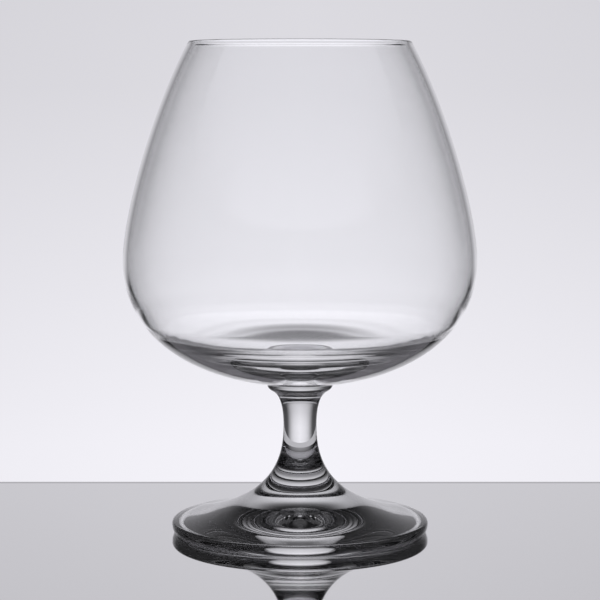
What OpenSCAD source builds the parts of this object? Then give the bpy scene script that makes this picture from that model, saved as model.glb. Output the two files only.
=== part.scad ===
// Brandy snifter in clear glass, made of three pieces fused face to face:
// a blown bowl, a drawn stem and a pressed foot. Millimetres, +Z up.
// The origin is the centre of the ring that the foot rests on, at table height.

/* [Overall] */
// Height of the glass from the table to the top of the lip
glass_h = 150.5; // [146:0.5:160]

/* [Bowl] */
// Outside diameter at the widest line of the bowl
belly_d = 108; // [98:0.5:116]
// Height of the widest line above the table
belly_h = 83.8; // [79:0.1:90]
// Outside diameter of the mouth, measured across the lip
mouth_d = 67.8; // [60:0.1:74]
// How far the wall leans inwards at the mouth, in degrees
lip_lean = 28.9; // [22:0.1:34]
// Thickness of the wall at the lip
lip_wall = 1.5; // [1.1:0.05:2]
// Thickness of the wall at the widest line
belly_wall = 1.6; // [1.2:0.05:2.2]
// Thickness of the glass in the middle of the bowl's floor, above the stem
floor_wall = 10.6; // [8:0.1:12]

/* [Stem] */
// Diameter of the stem where it is fused under the bowl
collar_d = 20.3; // [17:0.1:23]
// Height of the fused face under the bowl
collar_h = 46.3; // [44:0.1:48]
// Diameter of the stem at its waist
waist_d = 10.2; // [8.5:0.1:12]
// Height of the waist above the table
waist_h = 32.8; // [30:0.1:34.5]

/* [Foot] */
// Diameter of the foot at its widest line
foot_d = 79; // [72:0.5:86]
// Height of the widest line of the foot's rim above the table
rim_h = 2.9; // [2.4:0.1:3.4]
// Radius of the rounding on top of the foot's rim
rim_round = 1.1; // [0.8:0.1:1.6]
// Slope of the foot's top beside the rim, in degrees
foot_slope = 12; // [8:0.1:15]
// How far the ring that the foot rests on lies inside the foot's widest line
rest_inset = 1.8; // [1.2:0.1:3]
// Width of that ring
rest_w = 1; // [0.6:0.1:1.6]
// Height of the hollow under the foot, at its middle
hollow_h = 4.4; // [2.4:0.1:5.4]

/* [Hidden] */
$fn = 144;
// Steps along each curved stretch of an outline, between two of its knots, and round the lip
curve_steps = 22;
knot_steps = 4;
lip_steps = 8;

// Slope of the bowl's underside beside the stem, and of the stem's shoulder, in degrees
underside_slope = 7.6;
shoulder_slope = 89;

// How far each end of a curve runs straight, as a share of the height or width that it spans
lip_pull_share = 0.32;
belly_up_pull_share = 0.215;
belly_down_pull_share = 0.302;
underside_pull_share = 0.866;
shoulder_pull_share = 0.822;
waist_up_pull_share = 1;
waist_down_pull_share = 0.6;
foot_pull_share = 0.693;
rim_pull_share = 0.6;
// Where the foot is fused to the stem, as a share of the run of their common curve
weld_share = 0.36;

// Knots of the bowl's inside from the middle of its floor out to the widest line, as shares of that
// width and height, and the slope at each, in degrees, on a square of those shares
floor_shares = [
    [0, 0], [0.267, 0.001], [0.42, 0.009], [0.534, 0.022], [0.63, 0.042], [0.712, 0.072],
    [0.769, 0.108], [0.803, 0.148], [0.842, 0.214], [0.895, 0.346], [0.954, 0.558], [1, 1]
];
floor_slopes = [0, 1, 5.6, 9.7, 17.5, 29.2, 44.8, 55.7, 64.4, 71.6, 77.1, 90];
// Knots of the hollow under the foot, from its edge in to its middle, in the same way
hollow_shares = [[1, 0], [0.926, 0.102], [0.654, 0.341], [0.381, 0.67], [0, 1]];
hollow_slopes = [-78.3, -27, -45.7, -54.4, 0];

belly_r = belly_d / 2;
collar_r = collar_d / 2;
waist_r = waist_d / 2;
foot_r = foot_d / 2;
rest_r = foot_r - rest_inset;
hollow_r = rest_r - rest_w;
lip_r = lip_wall / 2;
// Middle of the wall's end, round which the lip is rounded
lip_centre = [mouth_d / 2 - lip_r, glass_h - lip_r];
lip_out = lip_centre + lip_r * [cos(lip_lean), sin(lip_lean)];
lip_in = lip_centre - lip_r * [cos(lip_lean), sin(lip_lean)];
// Direction down along the wall from the lip
lip_down = [sin(lip_lean), -cos(lip_lean)];
inner_r = belly_r - belly_wall;
floor_h = collar_h + floor_wall;
// Top of the rounding on the foot's rim
rim_centre = [foot_r - rim_round, rim_h];
rim_top = rim_centre + rim_round * [sin(foot_slope), cos(foot_slope)];

// A curve from a to d that leaves a towards b and reaches d from c, at share u of its run
function on_curve(a, b, c, d, u) =
    pow(1 - u, 3) * a + 3 * u * pow(1 - u, 2) * b + 3 * u * u * (1 - u) * c + pow(u, 3) * d;

// Points along a curve between two shares of its run, without the first one
function curve(p, from = 0, to = 1) =
    [for (i = [1 : curve_steps]) on_curve(p[0], p[1], p[2], p[3], from + (to - from) * i / curve_steps)];

// A point between two knots, on a curve whose ends run a third of the way along each knot's slope
function between(a, b, slope_a, slope_b, u) =
    on_curve(
        a,
        a + norm(b - a) / 3 * sign(b[0] - a[0]) * [cos(slope_a), sin(slope_a)],
        b - norm(b - a) / 3 * sign(b[0] - a[0]) * [cos(slope_b), sin(slope_b)],
        b,
        u
    );

// Points of a smooth curve through knots, without the first one, drawn to a real width and height
function through(shares, slopes, origin, width, height) =
    [for (k = [1 : len(shares) - 1]) for (i = [1 : knot_steps])
        let (p = between(shares[k - 1], shares[k], slopes[k - 1], slopes[k], i / knot_steps))
            origin + [width * p[0], height * p[1]]];

// Points of an arc round a centre, between two angles in degrees, without the first one
function arc(centre, r, from, to, steps) =
    [for (i = [1 : steps]) centre + r * [cos(from + (to - from) * i / steps), sin(from + (to - from) * i / steps)]];

// Outside of the bowl from the lip to the widest line
bowl_upper = [
    lip_out,
    lip_out + lip_pull_share * (glass_h - belly_h) * lip_down,
    [belly_r, belly_h + belly_up_pull_share * (glass_h - belly_h)],
    [belly_r, belly_h]
];
// Outside of the bowl from the widest line to the stem
bowl_lower = [
    [belly_r, belly_h],
    [belly_r, belly_h - belly_down_pull_share * (belly_h - collar_h)],
    [collar_r, collar_h]
        + underside_pull_share * (belly_r - collar_r) * [cos(underside_slope), sin(underside_slope)],
    [collar_r, collar_h]
];
// Inside of the bowl from the widest line to the lip
bowl_inner = [
    [inner_r, belly_h],
    [inner_r, belly_h + belly_up_pull_share * (glass_h - belly_h)],
    lip_in + lip_pull_share * (glass_h - belly_h) * lip_down,
    lip_in
];
// Stem from its fused top down to the waist
stem_upper = [
    [collar_r, collar_h],
    [collar_r, collar_h]
        + shoulder_pull_share * (collar_r - waist_r) * [-cos(shoulder_slope), -sin(shoulder_slope)],
    [waist_r, waist_h + waist_up_pull_share * (collar_h - waist_h)],
    [waist_r, waist_h]
];
// One curve from the waist over the foot to its rim, shared by stem and foot
leg_lower = [
    [waist_r, waist_h],
    [waist_r, waist_h - waist_down_pull_share * (waist_h - rim_top[1])],
    rim_top + foot_pull_share * (rim_top[0] - waist_r) * [-cos(foot_slope), sin(foot_slope)],
    rim_top
];
weld = on_curve(leg_lower[0], leg_lower[1], leg_lower[2], leg_lower[3], weld_share);
// Underside of the rim, from the widest line to the rest ring
rim_under = [
    [foot_r, rim_h],
    [foot_r, rim_h - rim_pull_share * rim_h],
    [rest_r + rim_pull_share * (foot_r - rest_r), 0],
    [rest_r, 0]
];

// Bowl: a blown wall that thickens into a solid floor, with a fire-rounded lip
module bowl() {
    color([0.93, 0.94, 0.96, 0.35])
        rotate_extrude()
            polygon(concat(
                [[0, collar_h], [0, floor_h]],
                through(floor_shares, floor_slopes, [0, floor_h], inner_r, belly_h - floor_h),
                curve(bowl_inner),
                arc(lip_centre, lip_r, 180 + lip_lean, lip_lean, lip_steps),
                curve(bowl_upper),
                curve(bowl_lower)
            ));
}

// Stem: solid, shouldered under the bowl, drawn to a waist and flared to the foot
module stem() {
    color([0.90, 0.92, 0.95, 0.35])
        rotate_extrude()
            polygon(concat(
                [[0, collar_h], [collar_r, collar_h]],
                curve(stem_upper),
                curve(leg_lower, 0, weld_share),
                [[0, weld[1]]]
            ));
}

// Foot: a pressed disc that runs up to the stem, hollow below, on a narrow rest ring
module foot() {
    color([0.90, 0.92, 0.95, 0.35])
        rotate_extrude()
            polygon(concat(
                [[0, weld[1]], weld],
                curve(leg_lower, weld_share, 1),
                arc(rim_centre, rim_round, 90 - foot_slope, 0, lip_steps),
                curve(rim_under),
                [[hollow_r, 0]],
                through(hollow_shares, hollow_slopes, [0, 0], hollow_r, hollow_h)
            ));
}

bowl();
stem();
foot();
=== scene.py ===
"""Dresses a clear glass snifter: blown bowl, drawn stem and pressed foot as revolved surfaces.

All lengths are in metres, +Z is up along the glass, and the origin is the centre of the ring it rests on.
"""
import math

import bpy
import numpy as np
from bpy.props import FloatProperty, FloatVectorProperty, IntProperty, PointerProperty
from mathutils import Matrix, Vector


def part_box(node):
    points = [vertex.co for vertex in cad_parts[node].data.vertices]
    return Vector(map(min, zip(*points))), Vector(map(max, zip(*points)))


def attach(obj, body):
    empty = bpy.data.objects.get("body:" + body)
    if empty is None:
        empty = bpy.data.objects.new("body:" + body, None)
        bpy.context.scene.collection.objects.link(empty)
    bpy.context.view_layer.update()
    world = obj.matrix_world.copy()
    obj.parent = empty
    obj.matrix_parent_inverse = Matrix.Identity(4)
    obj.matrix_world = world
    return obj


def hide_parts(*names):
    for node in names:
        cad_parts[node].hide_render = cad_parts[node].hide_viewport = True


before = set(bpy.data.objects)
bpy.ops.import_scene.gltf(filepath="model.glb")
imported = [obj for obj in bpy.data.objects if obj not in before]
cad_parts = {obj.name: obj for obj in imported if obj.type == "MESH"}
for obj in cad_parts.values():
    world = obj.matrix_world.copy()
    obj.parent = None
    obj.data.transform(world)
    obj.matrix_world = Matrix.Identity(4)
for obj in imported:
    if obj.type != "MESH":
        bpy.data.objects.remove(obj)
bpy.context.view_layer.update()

BOWL_BOX, FOOT_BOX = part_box("bowl"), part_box("foot")
MM = 0.001

bl_info = {
    "name": "Snifter",
    "version": (1, 0, 0),
    "blender": (4, 5, 0),
    "location": "3D View > Sidebar > Snifter",
    "description": "Builds a clear glass snifter on its fixed frame, with its table and studio",
    "category": "Object",
}

# Knots of the bowl's inside, from the middle of its floor out to the widest line, and of the hollow under
# the foot, from its edge in: share of the width, share of the height and slope on a square of those shares
FLOOR_KNOTS = (
    (0.0, 0.0, 0.0), (0.267, 0.001, 1.0), (0.42, 0.009, 5.6), (0.534, 0.022, 9.9),
    (0.63, 0.0435, 19.4), (0.712, 0.0787, 33.8), (0.769, 0.118, 47.2), (0.803, 0.1565, 55.9),
    (0.842, 0.2195, 64.4), (0.895, 0.3475, 71.6), (0.954, 0.558, 77.1), (1.0, 1.0, 90.0),
)
HOLLOW_KNOTS = (
    (1.0, 0.0, -78.3), (0.926, 0.102, -27.0), (0.654, 0.341, -45.7), (0.381, 0.67, -54.4), (0.0, 1.0, 0.0),
)
# Points along each stretch of the outlines; on the bowl's floor and in the hollow, between two knots
FLOOR_POINTS, WALL_POINTS, LIP_POINTS, UNDERSIDE_POINTS, SHOULDER_POINTS = 16, 60, 18, 110, 110
LEG_POINTS, FOOT_POINTS, RIM_POINTS, REST_POINTS, HOLLOW_POINTS = 90, 150, 22, 30, 30
# A point closer to the axis than this lies on it
ON_AXIS = 1e-9

# The waves left by blowing, drawing and pressing: how close they lie, and how close along the axis as a share
# of that
BLOWN_WAVES, DRAWN_WAVES, PRESSED_WAVES = (26.0, 0.6), (60.0, 0.25), (18.0, 1.0)
# Heights between which the wear of the rest ring fades out, and how close its scuffs lie
WORN_BELOW, CLEAN_ABOVE, SCUFFS = 0.002 * MM, 0.02 * MM, 900.0


def length(name, description, default):
    """A length that a user can change, kept in metres."""
    return FloatProperty(name=name, description=description, default=default, min=0.0, unit="LENGTH",
                         subtype="DISTANCE", precision=5)


def share(name, description, default):
    """How far one end of a curve runs straight, as a share of what the curve spans."""
    return FloatProperty(name=name, description=description, default=default, min=0.0, max=2.0,
                         subtype="FACTOR")


def angle(name, description, degrees):
    """An angle that a user can change."""
    return FloatProperty(name=name, description=description, default=math.radians(degrees), unit="ROTATION",
                         subtype="ANGLE")


class SnifterSizes(bpy.types.PropertyGroup):
    """Sizes of the three pieces of the glass."""
    glass_h: length("Height", "From the table to the top of the lip", BOWL_BOX[1][2])
    belly_r: length("Belly radius", "Outside radius at the widest line", BOWL_BOX[1][0])
    belly_h: length("Belly height", "Height of the widest line", 83.8 * MM)
    mouth_r: length("Mouth radius", "Outside radius at the lip", 33.9 * MM)
    lip_lean: angle("Lip lean", "How far the wall leans inwards at the mouth", 28.9)
    lip_wall: length("Lip wall", "Thickness of the wall at the lip", 1.5 * MM)
    belly_wall: length("Belly wall", "Thickness of the wall at the widest line", 1.6 * MM)
    floor_wall: length("Floor thickness", "Thickness of the bowl's floor over the stem", 10.6 * MM)
    lip_pull: share("Lip pull", "Straightness of the wall below the lip", 0.32)
    belly_up_pull: share("Upper belly pull", "Fullness of the wall above the widest line", 0.215)
    belly_down_pull: share("Lower belly pull", "Fullness of the wall below the widest line", 0.302)
    underside_pull: share("Underside pull", "Flatness of the bowl's underside", 0.866)
    underside_slope: angle("Underside slope", "Slope of the bowl's underside beside the stem", 7.6)
    collar_r: length("Collar radius", "Radius of the fused face under the bowl", 10.15 * MM)
    collar_h: length("Collar height", "Height of the fused face under the bowl", BOWL_BOX[0][2])
    shoulder_pull: share("Shoulder pull", "Fullness of the stem's shoulder", 0.822)
    shoulder_slope: angle("Shoulder slope", "Slope of the stem where it leaves the bowl", 89.0)
    waist_r: length("Waist radius", "Radius of the stem at its waist", 5.1 * MM)
    waist_h: length("Waist height", "Height of the waist", 32.8 * MM)
    waist_up_pull: share("Upper waist pull", "How long the waist runs up", 1.0)
    waist_down_pull: share("Lower waist pull", "How long the waist runs down", 0.6)
    weld_share: share("Weld place", "Where foot and stem are fused, along their common curve", 0.36)
    foot_r: length("Foot radius", "Radius of the foot at its rim", FOOT_BOX[1][0])
    foot_pull: share("Foot pull", "Flatness of the foot's top", 0.693)
    foot_slope: angle("Foot slope", "Slope of the foot's top beside the rim", 12.0)
    rim_h: length("Rim height", "Height of the foot's widest line", 2.9 * MM)
    rim_round: length("Rim rounding", "Radius of the rounding on the rim", 1.1 * MM)
    rim_pull: share("Rim pull", "Fullness of the rim's underside", 0.6)
    rest_inset: length("Rest ring inset", "How far the rest ring lies inside the foot's widest line",
                       1.8 * MM)
    rest_w: length("Rest ring width", "Width of the ring that the foot rests on", 1.0 * MM)
    hollow_h: length("Hollow height", "Height of the hollow under the foot", 4.4 * MM)
    segments: IntProperty(name="Segments", description="Steps round each piece", default=200, min=24, max=512)


class SnifterFinish(bpy.types.PropertyGroup):
    """Colour and finish of the glass."""
    tint: FloatVectorProperty(name="Tint", description="Colour that the glass gives to light passing through",
                              default=(0.995, 0.998, 1.0), size=3, min=0.0, max=1.0, subtype="COLOR")
    index: FloatProperty(name="Refraction", description="Index of refraction of the glass", default=1.52,
                         min=1.0, max=2.0)
    wave: length("Waviness", "Depth of the faint waves left by blowing and drawing", 0.004 * MM)
    wear: FloatProperty(name="Rest wear", description="Roughness of the worn ring under the foot",
                        default=0.2, min=0.0, max=1.0, subtype="FACTOR")


class SnifterStage(bpy.types.PropertyGroup):
    """Table, backdrop and camera."""
    table_back: length("Table's back edge", "Distance from the glass to the far edge of the table", 79.0 * MM)
    table_mirror: FloatProperty(name="Table's gloss", description="Share of light that the table mirrors",
                                default=0.92, min=0.0, max=1.0, subtype="FACTOR")
    backdrop: FloatVectorProperty(name="Backdrop", description="Colour of the lit backdrop",
                                  default=(0.955, 0.943, 1.0), size=3, min=0.0, max=1.0, subtype="COLOR")
    camera_away: length("Camera distance", "Distance of the camera in front of the glass", 627.3 * MM)
    camera_up: length("Camera height", "Height of the camera above the table", 136.7 * MM)
    camera_pitch: angle("Camera pitch", "How far the camera looks down", 5.91)
    camera_lens: FloatProperty(name="Lens", description="Focal length of the camera", default=123.6,
                               unit="CAMERA")


def bezier(points, count, start=0.0, end=1.0):
    """Points of a cubic curve from the first to the last of four points.

    Each point is the sum of the four, weighted by (1-u)^3, 3u(1-u)^2, 3u^2(1-u) and u^3.
    """
    u = np.linspace(start, end, count)[:, None]
    p = np.asarray(points, float)
    return (1 - u) ** 3 * p[0] + 3 * u * (1 - u) ** 2 * p[1] + 3 * u * u * (1 - u) * p[2] + u ** 3 * p[3]


def through(knots, origin, width, height, count):
    """A smooth curve through knots, from an origin over a real width and height.

    Between two knots it is a cubic curve that leaves and arrives along their slopes, each pull being a third
    of the straight distance between them. The shares are then multiplied by the width and height.
    """
    parts = [np.array([knots[0][:2]], float)]
    for (x0, y0, a0), (x1, y1, a1) in zip(knots[:-1], knots[1:]):
        pull = math.copysign(math.hypot(x1 - x0, y1 - y0) / 3, x1 - x0)
        a0, a1 = math.radians(a0), math.radians(a1)
        parts.append(bezier([(x0, y0), (x0 + pull * math.cos(a0), y0 + pull * math.sin(a0)),
                             (x1 - pull * math.cos(a1), y1 - pull * math.sin(a1)), (x1, y1)], count)[1:])
    return np.asarray(origin) + np.vstack(parts) * (width, height)


def arc(centre, radius, start, end, count):
    """Points of an arc: the centre plus the radius times cosine and sine of evenly spaced angles."""
    t = np.linspace(start, end, count)[1:-1]
    return np.asarray(centre) + radius * np.stack([np.cos(t), np.sin(t)], -1)


def bowl_outline(s):
    """The bowl from the middle of its floor up the inside, over the lip and down the outside to the stem."""
    lip_r = s.lip_wall / 2
    lean = np.array([math.cos(s.lip_lean), math.sin(s.lip_lean)])
    down = np.array([math.sin(s.lip_lean), -math.cos(s.lip_lean)])
    centre = np.array([s.mouth_r - lip_r, s.glass_h - lip_r])
    inner_r = s.belly_r - s.belly_wall
    above, below = s.glass_h - s.belly_h, s.belly_h - s.collar_h
    floor_h = s.collar_h + s.floor_wall
    floor = through(FLOOR_KNOTS, (0.0, floor_h), inner_r, s.belly_h - floor_h, FLOOR_POINTS)
    inner = bezier([(inner_r, s.belly_h), (inner_r, s.belly_h + s.belly_up_pull * above),
                    centre - lip_r * lean + s.lip_pull * above * down, centre - lip_r * lean], WALL_POINTS)
    lip = arc(centre, lip_r, math.pi + s.lip_lean, s.lip_lean, LIP_POINTS)
    upper = bezier([centre + lip_r * lean, centre + lip_r * lean + s.lip_pull * above * down,
                    (s.belly_r, s.belly_h + s.belly_up_pull * above), (s.belly_r, s.belly_h)], WALL_POINTS)
    width = s.underside_pull * (s.belly_r - s.collar_r)
    lower = bezier([(s.belly_r, s.belly_h), (s.belly_r, s.belly_h - s.belly_down_pull * below),
                    (s.collar_r + width * math.cos(s.underside_slope),
                     s.collar_h + width * math.sin(s.underside_slope)),
                    (s.collar_r, s.collar_h)], UNDERSIDE_POINTS)
    return np.vstack([floor, inner[1:], lip, upper, lower[1:]])


def leg_curve(s):
    """The curve from the waist over the foot to its rim, shared by stem and foot, and the rim's centre."""
    rim = np.array([s.foot_r - s.rim_round, s.rim_h])
    top = rim + s.rim_round * np.array([math.sin(s.foot_slope), math.cos(s.foot_slope)])
    width = s.foot_pull * (top[0] - s.waist_r)
    curve = [(s.waist_r, s.waist_h), (s.waist_r, s.waist_h - s.waist_down_pull * (s.waist_h - top[1])),
             (top[0] - width * math.cos(s.foot_slope), top[1] + width * math.sin(s.foot_slope)), tuple(top)]
    return curve, rim


def stem_outline(s):
    """The stem from its fused top down past the waist to the weld with the foot."""
    width = s.shoulder_pull * (s.collar_r - s.waist_r)
    upper = bezier([(s.collar_r, s.collar_h),
                    (s.collar_r - width * math.cos(s.shoulder_slope),
                     s.collar_h - width * math.sin(s.shoulder_slope)),
                    (s.waist_r, s.waist_h + s.waist_up_pull * (s.collar_h - s.waist_h)),
                    (s.waist_r, s.waist_h)], SHOULDER_POINTS)
    return np.vstack([upper, bezier(leg_curve(s)[0], LEG_POINTS, 0.0, s.weld_share)[1:]])


def foot_outline(s):
    """The foot from the weld over its top and rim, under the rest ring and up into the hollow."""
    curve, rim = leg_curve(s)
    top = bezier(curve, FOOT_POINTS, s.weld_share, 1.0)
    edge = arc(rim, s.rim_round, math.pi / 2 - s.foot_slope, 0.0, RIM_POINTS)
    rest_r = s.foot_r - s.rest_inset
    under = bezier([(s.foot_r, s.rim_h), (s.foot_r, s.rim_h * (1 - s.rim_pull)),
                    (rest_r + s.rim_pull * s.rest_inset, 0.0), (rest_r, 0.0)], REST_POINTS)
    hollow = through(HOLLOW_KNOTS, (0.0, 0.0), rest_r - s.rest_w, s.hollow_h, HOLLOW_POINTS)
    return np.vstack([top, edge, under, hollow])


def revolved(name, outline, segments):
    """A closed surface of revolution.

    Point (i, j) lies at the outline's radius i times cosine and sine of angle j, at the outline's height i. A
    fan of triangles closes each end: round a pole where the outline meets the axis, and otherwise as the flat
    disc by which the piece is fused, which has the second material and a sharp edge.
    """
    turn = np.linspace(0.0, 2 * math.pi, segments, endpoint=False)
    on_axis = outline[:, 0] < ON_AXIS
    first, last = (1 if on_axis[0] else 0), (len(outline) - 1 if on_axis[-1] else len(outline))
    rings = outline[first:last]
    radius, height = (np.repeat(rings[:, at:at + 1], segments, axis=1) for at in (0, 1))
    points = np.stack([radius * np.cos(turn), radius * np.sin(turn), height], -1).reshape(-1, 3)
    row, col = np.meshgrid(np.arange(len(rings) - 1), np.arange(segments), indexing="ij")
    here, after = row * segments + col, row * segments + (col + 1) % segments
    quads = np.stack([here, here + segments, after + segments, after], -1).reshape(-1, 4)
    ends = [(0, outline[0, 1], False, on_axis[0]), (len(rings) - 1, outline[-1, 1], True, on_axis[-1])]
    faces, slots, centres, seams = quads.tolist(), [0] * len(quads), [], []
    for ring, at, reverse, pole in ends:
        middle = len(points) + len(centres)
        centres.append((0.0, 0.0, at))
        a = ring * segments + np.arange(segments)
        b = ring * segments + (np.arange(segments) + 1) % segments
        pair = (b, a) if reverse else (a, b)
        fan = np.stack([np.full(segments, middle), *pair], -1)
        faces += fan.tolist()
        slots += [0 if pole else 1] * segments
        if not pole:
            seams.append(ring)
    mesh = bpy.data.meshes.new(name)
    mesh.from_pydata(np.vstack([points, centres]).tolist(), [], faces)
    mesh.polygons.foreach_set("use_smooth", [True] * len(faces))
    mesh.polygons.foreach_set("material_index", slots)
    edges = np.zeros(len(mesh.edges) * 2, int)
    mesh.edges.foreach_get("vertices", edges)
    edges = edges.reshape(-1, 2)
    sharp = np.zeros(len(edges), bool)
    for ring in seams:
        sharp |= ((edges >= ring * segments) & (edges < (ring + 1) * segments)).all(axis=1)
    mesh.edges.foreach_set("use_edge_sharp", sharp)
    mesh.update()
    piece = bpy.data.objects.new(name, mesh)
    bpy.context.scene.collection.objects.link(piece)
    return piece


def node(tree, kind, links=(), **values):
    """Adds a node, joins (input, output) pairs and sets its plain values."""
    made = tree.nodes.new(kind)
    for key, value in values.items():
        if hasattr(made, key):
            setattr(made, key, value)
        else:
            made.inputs[key.replace("_", " ")].default_value = value
    for socket, source in links:
        tree.links.new(source, made.inputs[socket])
    return made


def worked_out(tree, operation, first, second=None):
    """One step of arithmetic on one value or two, each of which may be a plain number."""
    step = node(tree, "ShaderNodeMath", operation=operation)
    for socket, value in zip(step.inputs, (first, second)):
        if isinstance(value, float):
            socket.default_value = value
        elif value is not None:
            tree.links.new(value, socket)
    return step.outputs[0]


def either(tree, share_of, first, second):
    """The first value where the share is 0 and the second, which may be a plain number, where it is 1."""
    mixed = node(tree, "ShaderNodeMix", [(0, share_of), (2, first)], data_type="FLOAT")
    if isinstance(second, float):
        mixed.inputs[3].default_value = second
    else:
        tree.links.new(second, mixed.inputs[3])
    return mixed.outputs[0]


def eased(tree, source, start, end, first, last):
    """A value that eases from first to last while the source runs from start to end."""
    step = node(tree, "ShaderNodeMapRange", [("Value", source)], interpolation_type="SMOOTHSTEP")
    for socket, value in (("From Min", start), ("From Max", end), ("To Min", first), ("To Max", last)):
        step.inputs[socket].default_value = value
    return step.outputs["Result"]


def fire_polish_group():
    """Node group: the faint waves that blowing or drawing leaves in hot glass, as a height."""
    made = bpy.data.node_groups.get("fire_polish")
    if made:
        return made
    made = bpy.data.node_groups.new("fire_polish", "ShaderNodeTree")
    for name, kind in (("Vector", "Vector"), ("Scale", "Float"), ("Stretch", "Float")):
        made.interface.new_socket(name, in_out="INPUT", socket_type="NodeSocket" + kind)
    made.interface.new_socket("Height", in_out="OUTPUT", socket_type="NodeSocketFloat")
    start, end = made.nodes.new("NodeGroupInput"), made.nodes.new("NodeGroupOutput")
    squeeze = node(made, "ShaderNodeCombineXYZ", [("Z", start.outputs["Stretch"])], X=1.0, Y=1.0)
    place = node(made, "ShaderNodeVectorMath", [(0, start.outputs["Vector"]), (1, squeeze.outputs[0])],
                 operation="MULTIPLY")
    waves = node(made, "ShaderNodeTexNoise",
                 [("Vector", place.outputs[0]), ("Scale", start.outputs["Scale"])], Detail=1.0, Roughness=0.4)
    made.links.new(waves.outputs["Fac"], end.inputs["Height"])
    return made


def glass_material(name, finish, waves, worn=False):
    """Clear glass, with the waves of its making; under the foot the ring that it rests on is worn dull."""
    material = bpy.data.materials.new(name)
    material.use_nodes = True
    tree = material.node_tree
    shader = tree.nodes["Principled BSDF"]
    shader.inputs["Base Color"].default_value = (*finish.tint, 1.0)
    shader.inputs["Roughness"].default_value = 0.0
    shader.inputs["IOR"].default_value = finish.index
    shader.inputs["Metallic"].default_value = 0.0
    shader.inputs["Transmission Weight"].default_value = 1.0
    place = node(tree, "ShaderNodeTexCoord").outputs["Object"]
    polish = node(tree, "ShaderNodeGroup", node_tree=fire_polish_group())
    tree.links.new(place, polish.inputs["Vector"])
    polish.inputs["Scale"].default_value, polish.inputs["Stretch"].default_value = waves
    bump = node(tree, "ShaderNodeBump", [("Height", polish.outputs["Height"])], Strength=1.0,
                Distance=finish.wave)
    tree.links.new(bump.outputs["Normal"], shader.inputs["Normal"])
    if worn:
        height = node(tree, "ShaderNodeSeparateXYZ", [(0, place)]).outputs["Z"]
        ring = eased(tree, height, WORN_BELOW, CLEAN_ABOVE, 1.0, 0.0)
        scuff = node(tree, "ShaderNodeTexNoise", [("Vector", place)], Scale=SCUFFS, Detail=3.0)
        scuffed = worked_out(tree, "MULTIPLY", ring, scuff.outputs["Fac"])
        # The scuffs lie round a half, so twice the wear makes it their middle
        tree.links.new(worked_out(tree, "MULTIPLY", scuffed, finish.wear * 2), shader.inputs["Roughness"])
    return material


def fused_material():
    """The unseen face by which two pieces are fused: light passes it as if the glass were one."""
    made = bpy.data.materials.get("fused_face")
    if made is None:
        made = bpy.data.materials.new("fused_face")
        made.use_nodes = True
        made.node_tree.nodes["Principled BSDF"].inputs["Alpha"].default_value = 0.0
    return made


def dress(piece, material, cad_node):
    """Gives a piece its glass, its fused faces and its place in the frame."""
    piece.data.materials.append(material)
    piece.data.materials.append(fused_material())
    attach(piece, "root")
    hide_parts(cad_node)


class OBJECT_OT_snifter_bowl(bpy.types.Operator):
    """Add the blown bowl: a thin wall that thickens into a solid floor, with a fire-rounded lip"""
    bl_idname = "object.snifter_bowl"
    bl_label = "Bowl"

    def execute(self, context):
        sizes, finish = context.scene.snifter_sizes, context.scene.snifter_finish
        piece = revolved("bowl_blown", bowl_outline(sizes), sizes.segments)
        dress(piece, glass_material("blown_glass", finish, BLOWN_WAVES), "bowl")
        return {"FINISHED"}


class OBJECT_OT_snifter_stem(bpy.types.Operator):
    """Add the drawn stem: solid, shouldered under the bowl and waisted"""
    bl_idname = "object.snifter_stem"
    bl_label = "Stem"

    def execute(self, context):
        sizes, finish = context.scene.snifter_sizes, context.scene.snifter_finish
        piece = revolved("stem_drawn", stem_outline(sizes), sizes.segments)
        dress(piece, glass_material("drawn_glass", finish, DRAWN_WAVES), "stem")
        return {"FINISHED"}


class OBJECT_OT_snifter_foot(bpy.types.Operator):
    """Add the pressed foot: a disc that runs up to the stem, hollow below, on a narrow rest ring"""
    bl_idname = "object.snifter_foot"
    bl_label = "Foot"

    def execute(self, context):
        sizes, finish = context.scene.snifter_sizes, context.scene.snifter_finish
        piece = revolved("foot_pressed", foot_outline(sizes), sizes.segments)
        glass = glass_material("pressed_glass", finish, PRESSED_WAVES, worn=True)
        dress(piece, glass, "foot")
        return {"FINISHED"}


# Brightness of the studio as (angle in degrees, level). Each AROUND goes by azimuth from straight behind the
# glass, each UP by elevation, and the two are multiplied.
AROUND_LIMITS, UP_LIMITS = (0, 180), (-90, 90)
# The lit backdrop that the glass mirrors; by elevation it also shows so straight through solid glass
BACKDROP_AROUND = (
    (0, 1.0), (8, 0.92), (14, 0.84), (18, 0.75), (22, 0.65), (25, 0.52), (29, 0.37), (33, 0.22), (38, 0.10),
    (45, 0.03), (180, 0.02),
)
BACKDROP_UP = (
    (-90, 0.4), (-46, 0.4), (-41, 0.2), (-36, 0.03), (-34, 0.2), (-31, 0.5), (-27, 0.88), (-15, 0.92),
    (-10, 0.93), (0, 0.74), (11, 0.66), (15, 0.62), (20, 0.5), (26, 0.3), (32, 0.15), (40, 0.05), (50, 0.02),
    (90, 0.02),
)
# The dark flags beside the backdrop, as the share of its light that they take away
FLAG_AROUND = ((0, 0.0), (17, 0.0), (23, 0.9), (55, 0.9), (66, 0.0), (180, 0.0))
FLAG_UP = ((-90, 0.0), (-50, 0.0), (-40, 1.0), (-10, 1.0), (-5, 0.0), (90, 0.0))
# The dim room in front
ROOM_AROUND = ((0, 0.0), (115, 0.0), (140, 0.06), (180, 0.06))
ROOM_UP = ((-90, 0.1), (-30, 1.0), (25, 1.0), (45, 0.2), (90, 0.1))
# The backdrop as it shows straight through solid glass, with the paler sides of the studio
STRAIGHT_AROUND = (
    (0, 1.0), (8, 0.92), (14, 0.84), (18, 0.75), (22, 0.65), (25, 0.52), (29, 0.37), (33, 0.22), (38, 0.10),
    (50, 0.08), (64, 0.15), (80, 0.6), (180, 0.7),
)
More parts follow.
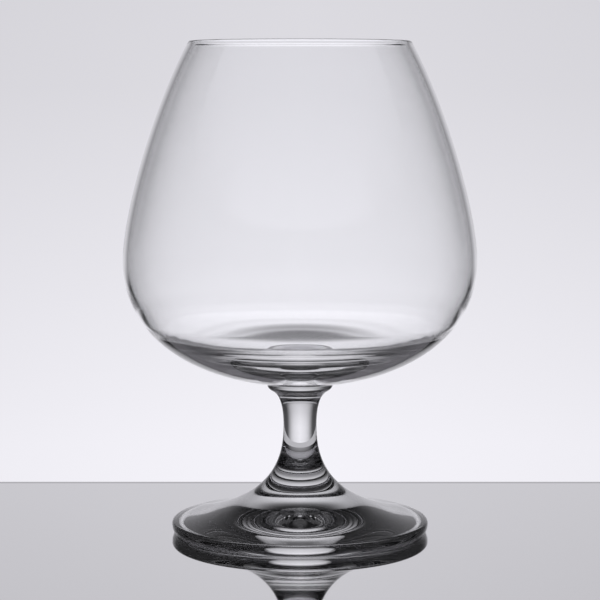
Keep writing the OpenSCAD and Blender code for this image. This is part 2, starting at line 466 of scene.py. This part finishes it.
# The plain wall: past the glass, and through both thin walls of the bowl. Only through the thin walls does it
# have a painted dark line low on it, which the bowl's floor bends into a soft arc of painted shade
WALL_AROUND = ((0, 1.0), (8, 0.95), (20, 0.87), (180, 0.85))
PLAIN_UP = (
    (-90, 0.75), (-31, 0.85), (-27, 0.88), (-15, 0.93), (-10, 0.93), (0, 0.74), (11, 0.66), (15, 0.62),
    (28, 0.6), (90, 0.6),
)
WALL_UP = (
    (-90, 0.9), (-40, 0.9), (-37, 0.25), (-35, 0.05), (-33.8, 0.1), (-33, 0.2), (-32, 0.38), (-30.5, 0.65),
    (-28, 0.93), (-22, 0.98), (-14, 1.0), (-9, 0.93), (0, 0.74), (11, 0.66), (15, 0.62), (28, 0.6), (90, 0.6),
)
# Makes up for what the two thin walls take from the light
THROUGH_GLASS = 1.125
# Strength of the whole studio
STUDIO_STRENGTH = 1.03
# Level of the studio as it lights the table's pale coat
EVEN_LIGHT = 1.0
# Bounces are counted whole, so these lie between two counts: none or some, one or several, and for light
# that has passed both thin walls of the bowl, less than four faces or at least four
SOME, SEVERAL, THIN_WALLS = 0.5, 1.5, 3.5

# The table: its pale coat and its side, how rough its polish is, and how much it mirrors seen from above
COAT_COLOUR = (0.66, 0.65, 0.68, 1.0)
SIDE_COLOUR = (0.72, 0.71, 0.74, 1.0)
SIDE_ROUGHNESS = 0.7
POLISH_ROUGHNESS = 0.03
MIRROR_FROM_ABOVE = 0.08
# How flat along the table is seen where it starts to mirror and where it mirrors fully, from 0 to 1
MIRROR_STARTS, MIRROR_FULL = 0.4, 0.7
# Where the mirror starts and ends dimming towards the table's back edge, and its level there: painted shade
EDGE_SHADE_STARTS, EDGE_SHADE_FULL, EDGE_SHADE_MIRROR = 3.6 * MM, 1.6 * MM, 0.5
# How much flatter the table counts as seen through the foot, and fully so within this distance of the axis
UNDER_GLASS = 0.4
UNDER_STEM = 0.022
# Distance from the axis past which the table seen through the glass glows with painted light, and how bright
BEYOND_FOOT = 0.06
FAR_TABLE_GLOW = 0.53
# Half the width, front and thickness of the table's slab
SLAB_HALF, SLAB_FRONT, SLAB_THICK = 1.5, -2.5, 0.04

# How often light may turn inside the glass, whose walls guide it far, and how many fused faces it may cross
BOUNCES = 128
FUSED_FACES = 32
# The camera's sensor, in millimetres, and the nearest point that it sees, in metres
SENSOR = 36.0
NEAR_CLIP = 0.01


def level(tree, source, points, low, high):
    """A colour ramp that turns an angle between two limits, in degrees, into a brightness."""
    turned = node(tree, "ShaderNodeMapRange", [("Value", source)])
    for socket, value in (("From Min", math.radians(low)), ("From Max", math.radians(high))):
        turned.inputs[socket].default_value = value
    ramp = node(tree, "ShaderNodeValToRGB", [("Fac", turned.outputs["Result"])])
    stops = ramp.color_ramp.elements
    while len(stops) > 1:
        stops.remove(stops[0])
    for number, (at, value) in enumerate(points):
        place = (at - low) / (high - low)
        stop = stops[0] if number == 0 else stops.new(place)
        stop.position = place
        stop.color = (value, value, value, 1.0)
    return ramp.outputs["Color"]


def studio_world(stage):
    """The studio round the glass, as a brightness by direction and by the way that the light has come.

    What the glass mirrors is the lit backdrop with a dark flag on each side, and a dim room in front. Light
    that comes straight through solid glass shows the backdrop and the paler sides of the studio. Light that
    comes straight through both thin walls of the bowl shows a plain pale wall with a painted dark line low on
    it, which gives the bowl a soft arc of painted shade; what is seen past the glass or in the bare table is
    the plain pale wall without that line. The table's pale coat is lit evenly.
    """
    world = bpy.data.worlds.new("studio")
    world.use_nodes = True
    tree = world.node_tree
    tree.nodes.clear()
    out = node(tree, "ShaderNodeOutputWorld")
    light = node(tree, "ShaderNodeBackground", Strength=STUDIO_STRENGTH)
    tree.links.new(light.outputs[0], out.inputs["Surface"])
    way = node(tree, "ShaderNodeSeparateXYZ", [(0, node(tree, "ShaderNodeTexCoord").outputs["Generated"])])
    turn = worked_out(tree, "ARCTAN2", way.outputs["X"], way.outputs["Y"])
    around = worked_out(tree, "ABSOLUTE", turn)
    up = worked_out(tree, "ARCSINE", way.outputs["Z"])

    def part(by_turn, by_height):
        return worked_out(tree, "MULTIPLY", level(tree, around, by_turn, *AROUND_LIMITS),
                          level(tree, up, by_height, *UP_LIMITS))

    unflagged = worked_out(tree, "SUBTRACT", 1.0, part(FLAG_AROUND, FLAG_UP))
    backdrop = worked_out(tree, "MULTIPLY", part(BACKDROP_AROUND, BACKDROP_UP), unflagged)
    mirrored = worked_out(tree, "ADD", backdrop, part(ROOM_AROUND, ROOM_UP))
    solid = part(STRAIGHT_AROUND, BACKDROP_UP)
    # Through both thin walls the wall carries a painted dark line: painted shade for the bowl's floor
    thin = worked_out(tree, "MULTIPLY", part(WALL_AROUND, WALL_UP), THROUGH_GLASS)
    plain = part(WALL_AROUND, PLAIN_UP)

    path = node(tree, "ShaderNodeLightPath").outputs
    straight = worked_out(tree, "LESS_THAN", path["Glossy Depth"], SOME)
    clear = worked_out(tree, "LESS_THAN", path["Transmission Depth"], SOME)
    passed = worked_out(tree, "GREATER_THAN", path["Transmission Depth"], THIN_WALLS)
    diffused = worked_out(tree, "GREATER_THAN", path["Diffuse Depth"], SOME)
    # Glass mirrors sharply and the table a little softly, so a soft reflection is the table's
    soft = worked_out(tree, "LESS_THAN", path["Is Singular Ray"], SOME)
    once = worked_out(tree, "LESS_THAN", path["Glossy Depth"], SEVERAL)
    in_table = worked_out(tree, "MULTIPLY", soft, worked_out(tree, "MULTIPLY", once, path["Is Glossy Ray"]))
    open_air = worked_out(tree, "MULTIPLY", clear, worked_out(tree, "MAXIMUM", straight, in_table))

    value = either(tree, straight, mirrored, solid)
    value = either(tree, worked_out(tree, "MULTIPLY", straight, passed), value, thin)
    value = either(tree, open_air, value, plain)
    value = either(tree, diffused, value, EVEN_LIGHT)
    tinted = node(tree, "ShaderNodeVectorMath", [(0, value)], operation="MULTIPLY")
    tinted.inputs[1].default_value = stage.backdrop
    tree.links.new(tinted.outputs[0], light.inputs["Color"])
    return world


def table_material(stage):
    """A pale polished table: seen flat along, it mirrors what stands on it, and from above it is pale.

    Seen through the foot it counts as seen more flatly, because the glass bends the view. Beyond the foot it
    glows with a painted uniform light towards what comes straight through the glass.
    """
    material = bpy.data.materials.new("polished_table")
    material.use_nodes = True
    tree = material.node_tree
    mirror = tree.nodes["Principled BSDF"]
    mirror.inputs["Metallic"].default_value = 1.0
    mirror.inputs["Roughness"].default_value = POLISH_ROUGHNESS
    place = node(tree, "ShaderNodeTexCoord").outputs["Object"]
    back = node(tree, "ShaderNodeSeparateXYZ", [(0, place)]).outputs["Y"]
    # The mirror dims near the table's back edge: a painted shade line
    gloss = eased(tree, back, stage.table_back - EDGE_SHADE_STARTS, stage.table_back - EDGE_SHADE_FULL,
                  stage.table_mirror, EDGE_SHADE_MIRROR)
    tree.links.new(gloss, mirror.inputs["Base Color"])
    coat = node(tree, "ShaderNodeBsdfDiffuse", Color=COAT_COLOUR)

    path = node(tree, "ShaderNodeLightPath").outputs
    away = node(tree, "ShaderNodeVectorMath", [(0, place)], operation="LENGTH").outputs["Value"]
    through_glass = worked_out(tree, "GREATER_THAN", path["Transmission Depth"], SOME)
    inside = worked_out(tree, "MULTIPLY", through_glass,
                        worked_out(tree, "LESS_THAN", path["Transmission Depth"], THIN_WALLS))
    middle = worked_out(tree, "LESS_THAN", away, UNDER_STEM)
    under = worked_out(tree, "MULTIPLY", inside, worked_out(tree, "ADD", middle, UNDER_GLASS))
    facing = node(tree, "ShaderNodeLayerWeight", Blend=0.5).outputs["Facing"]
    flatness = worked_out(tree, "ADD", facing, under)
    mirrored = eased(tree, flatness, MIRROR_STARTS, MIRROR_FULL, MIRROR_FROM_ABOVE, 1.0)
    near = node(tree, "ShaderNodeMixShader", [(0, mirrored), (1, coat.outputs[0]), (2, mirror.outputs[0])])

    # Beyond the foot, to what comes straight through the glass, the table glows: painted light, not a lamp
    outer = worked_out(tree, "MULTIPLY", through_glass, worked_out(tree, "GREATER_THAN", away, BEYOND_FOOT))
    beyond = worked_out(tree, "MULTIPLY", outer, worked_out(tree, "LESS_THAN", path["Glossy Depth"], SOME))
    painted_glow = node(tree, "ShaderNodeEmission", Color=(*stage.backdrop, 1.0), Strength=FAR_TABLE_GLOW)
    whole = node(tree, "ShaderNodeMixShader", [(0, beyond), (1, near.outputs[0]), (2, painted_glow.outputs[0])])
    tree.links.new(whole.outputs[0], tree.nodes["Material Output"].inputs["Surface"])
    return material


def table_side_material():
    """The plain pale side of the table."""
    material = bpy.data.materials.new("table_side")
    material.use_nodes = True
    shader = material.node_tree.nodes["Principled BSDF"]
    shader.inputs["Base Color"].default_value = SIDE_COLOUR
    shader.inputs["Roughness"].default_value = SIDE_ROUGHNESS
    return material


class OBJECT_OT_snifter_stage(bpy.types.Operator):
    """Add the table, the studio's light and the camera"""
    bl_idname = "object.snifter_stage"
    bl_label = "Stage"

    def execute(self, context):
        stage = context.scene.snifter_stage
        corners = [(-SLAB_HALF, SLAB_FRONT), (SLAB_HALF, SLAB_FRONT), (SLAB_HALF, stage.table_back),
                   (-SLAB_HALF, stage.table_back)]
        mesh = bpy.data.meshes.new("table")
        mesh.from_pydata([(x, y, z) for z in (-SLAB_THICK, 0.0) for x, y in corners], [],
                         [(3, 2, 1, 0), (4, 5, 6, 7), (0, 1, 5, 4), (1, 2, 6, 5), (2, 3, 7, 6), (3, 0, 4, 7)])
        mesh.materials.append(table_material(stage))
        mesh.materials.append(table_side_material())
        mesh.polygons.foreach_set("material_index", [1, 0, 1, 1, 1, 1])
        table = bpy.data.objects.new("table", mesh)
        context.scene.collection.objects.link(table)
        context.scene.world = studio_world(stage)
        camera = bpy.data.cameras.new("camera")
        camera.lens = stage.camera_lens
        camera.sensor_width = SENSOR
        camera.clip_start = NEAR_CLIP
        viewer = bpy.data.objects.new("camera", camera)
        viewer.location = (0.0, -stage.camera_away, stage.camera_up)
        viewer.rotation_euler = (math.pi / 2 - stage.camera_pitch, 0.0, 0.0)
        context.scene.collection.objects.link(viewer)
        context.scene.camera = viewer
        context.scene.view_settings.view_transform = "Standard"
        cycles = context.scene.cycles
        cycles.max_bounces = cycles.transmission_bounces = cycles.glossy_bounces = BOUNCES
        cycles.transparent_max_bounces = FUSED_FACES
        return {"FINISHED"}


OPERATORS = (OBJECT_OT_snifter_bowl, OBJECT_OT_snifter_stem, OBJECT_OT_snifter_foot, OBJECT_OT_snifter_stage)


class VIEW3D_PT_snifter(bpy.types.Panel):
    """The snifter's pieces and sizes in the sidebar"""
    bl_label = "Snifter"
    bl_idname = "VIEW3D_PT_snifter"
    bl_space_type = "VIEW_3D"
    bl_region_type = "UI"
    bl_category = "Snifter"

    def draw(self, context):
        for operator in OPERATORS:
            self.layout.operator(operator.bl_idname)
        for group in (context.scene.snifter_sizes, context.scene.snifter_finish, context.scene.snifter_stage):
            box = self.layout.box()
            for name in group.__annotations__:
                box.prop(group, name)


CLASSES = (SnifterSizes, SnifterFinish, SnifterStage, *OPERATORS, VIEW3D_PT_snifter)


def register():
    """Adds the classes and gives the scene its sizes, finish and stage."""
    for cls in CLASSES:
        bpy.utils.register_class(cls)
    bpy.types.Scene.snifter_sizes = PointerProperty(type=SnifterSizes)
    bpy.types.Scene.snifter_finish = PointerProperty(type=SnifterFinish)
    bpy.types.Scene.snifter_stage = PointerProperty(type=SnifterStage)


def unregister():
    """Takes away what register added."""
    del bpy.types.Scene.snifter_stage
    del bpy.types.Scene.snifter_finish
    del bpy.types.Scene.snifter_sizes
    for cls in reversed(CLASSES):
        bpy.utils.unregister_class(cls)


def main():
    """Builds the glass and its stage."""
    register()
    bpy.ops.object.snifter_bowl()
    bpy.ops.object.snifter_stem()
    bpy.ops.object.snifter_foot()
    bpy.ops.object.snifter_stage()


if __name__ == "__main__":
    main()
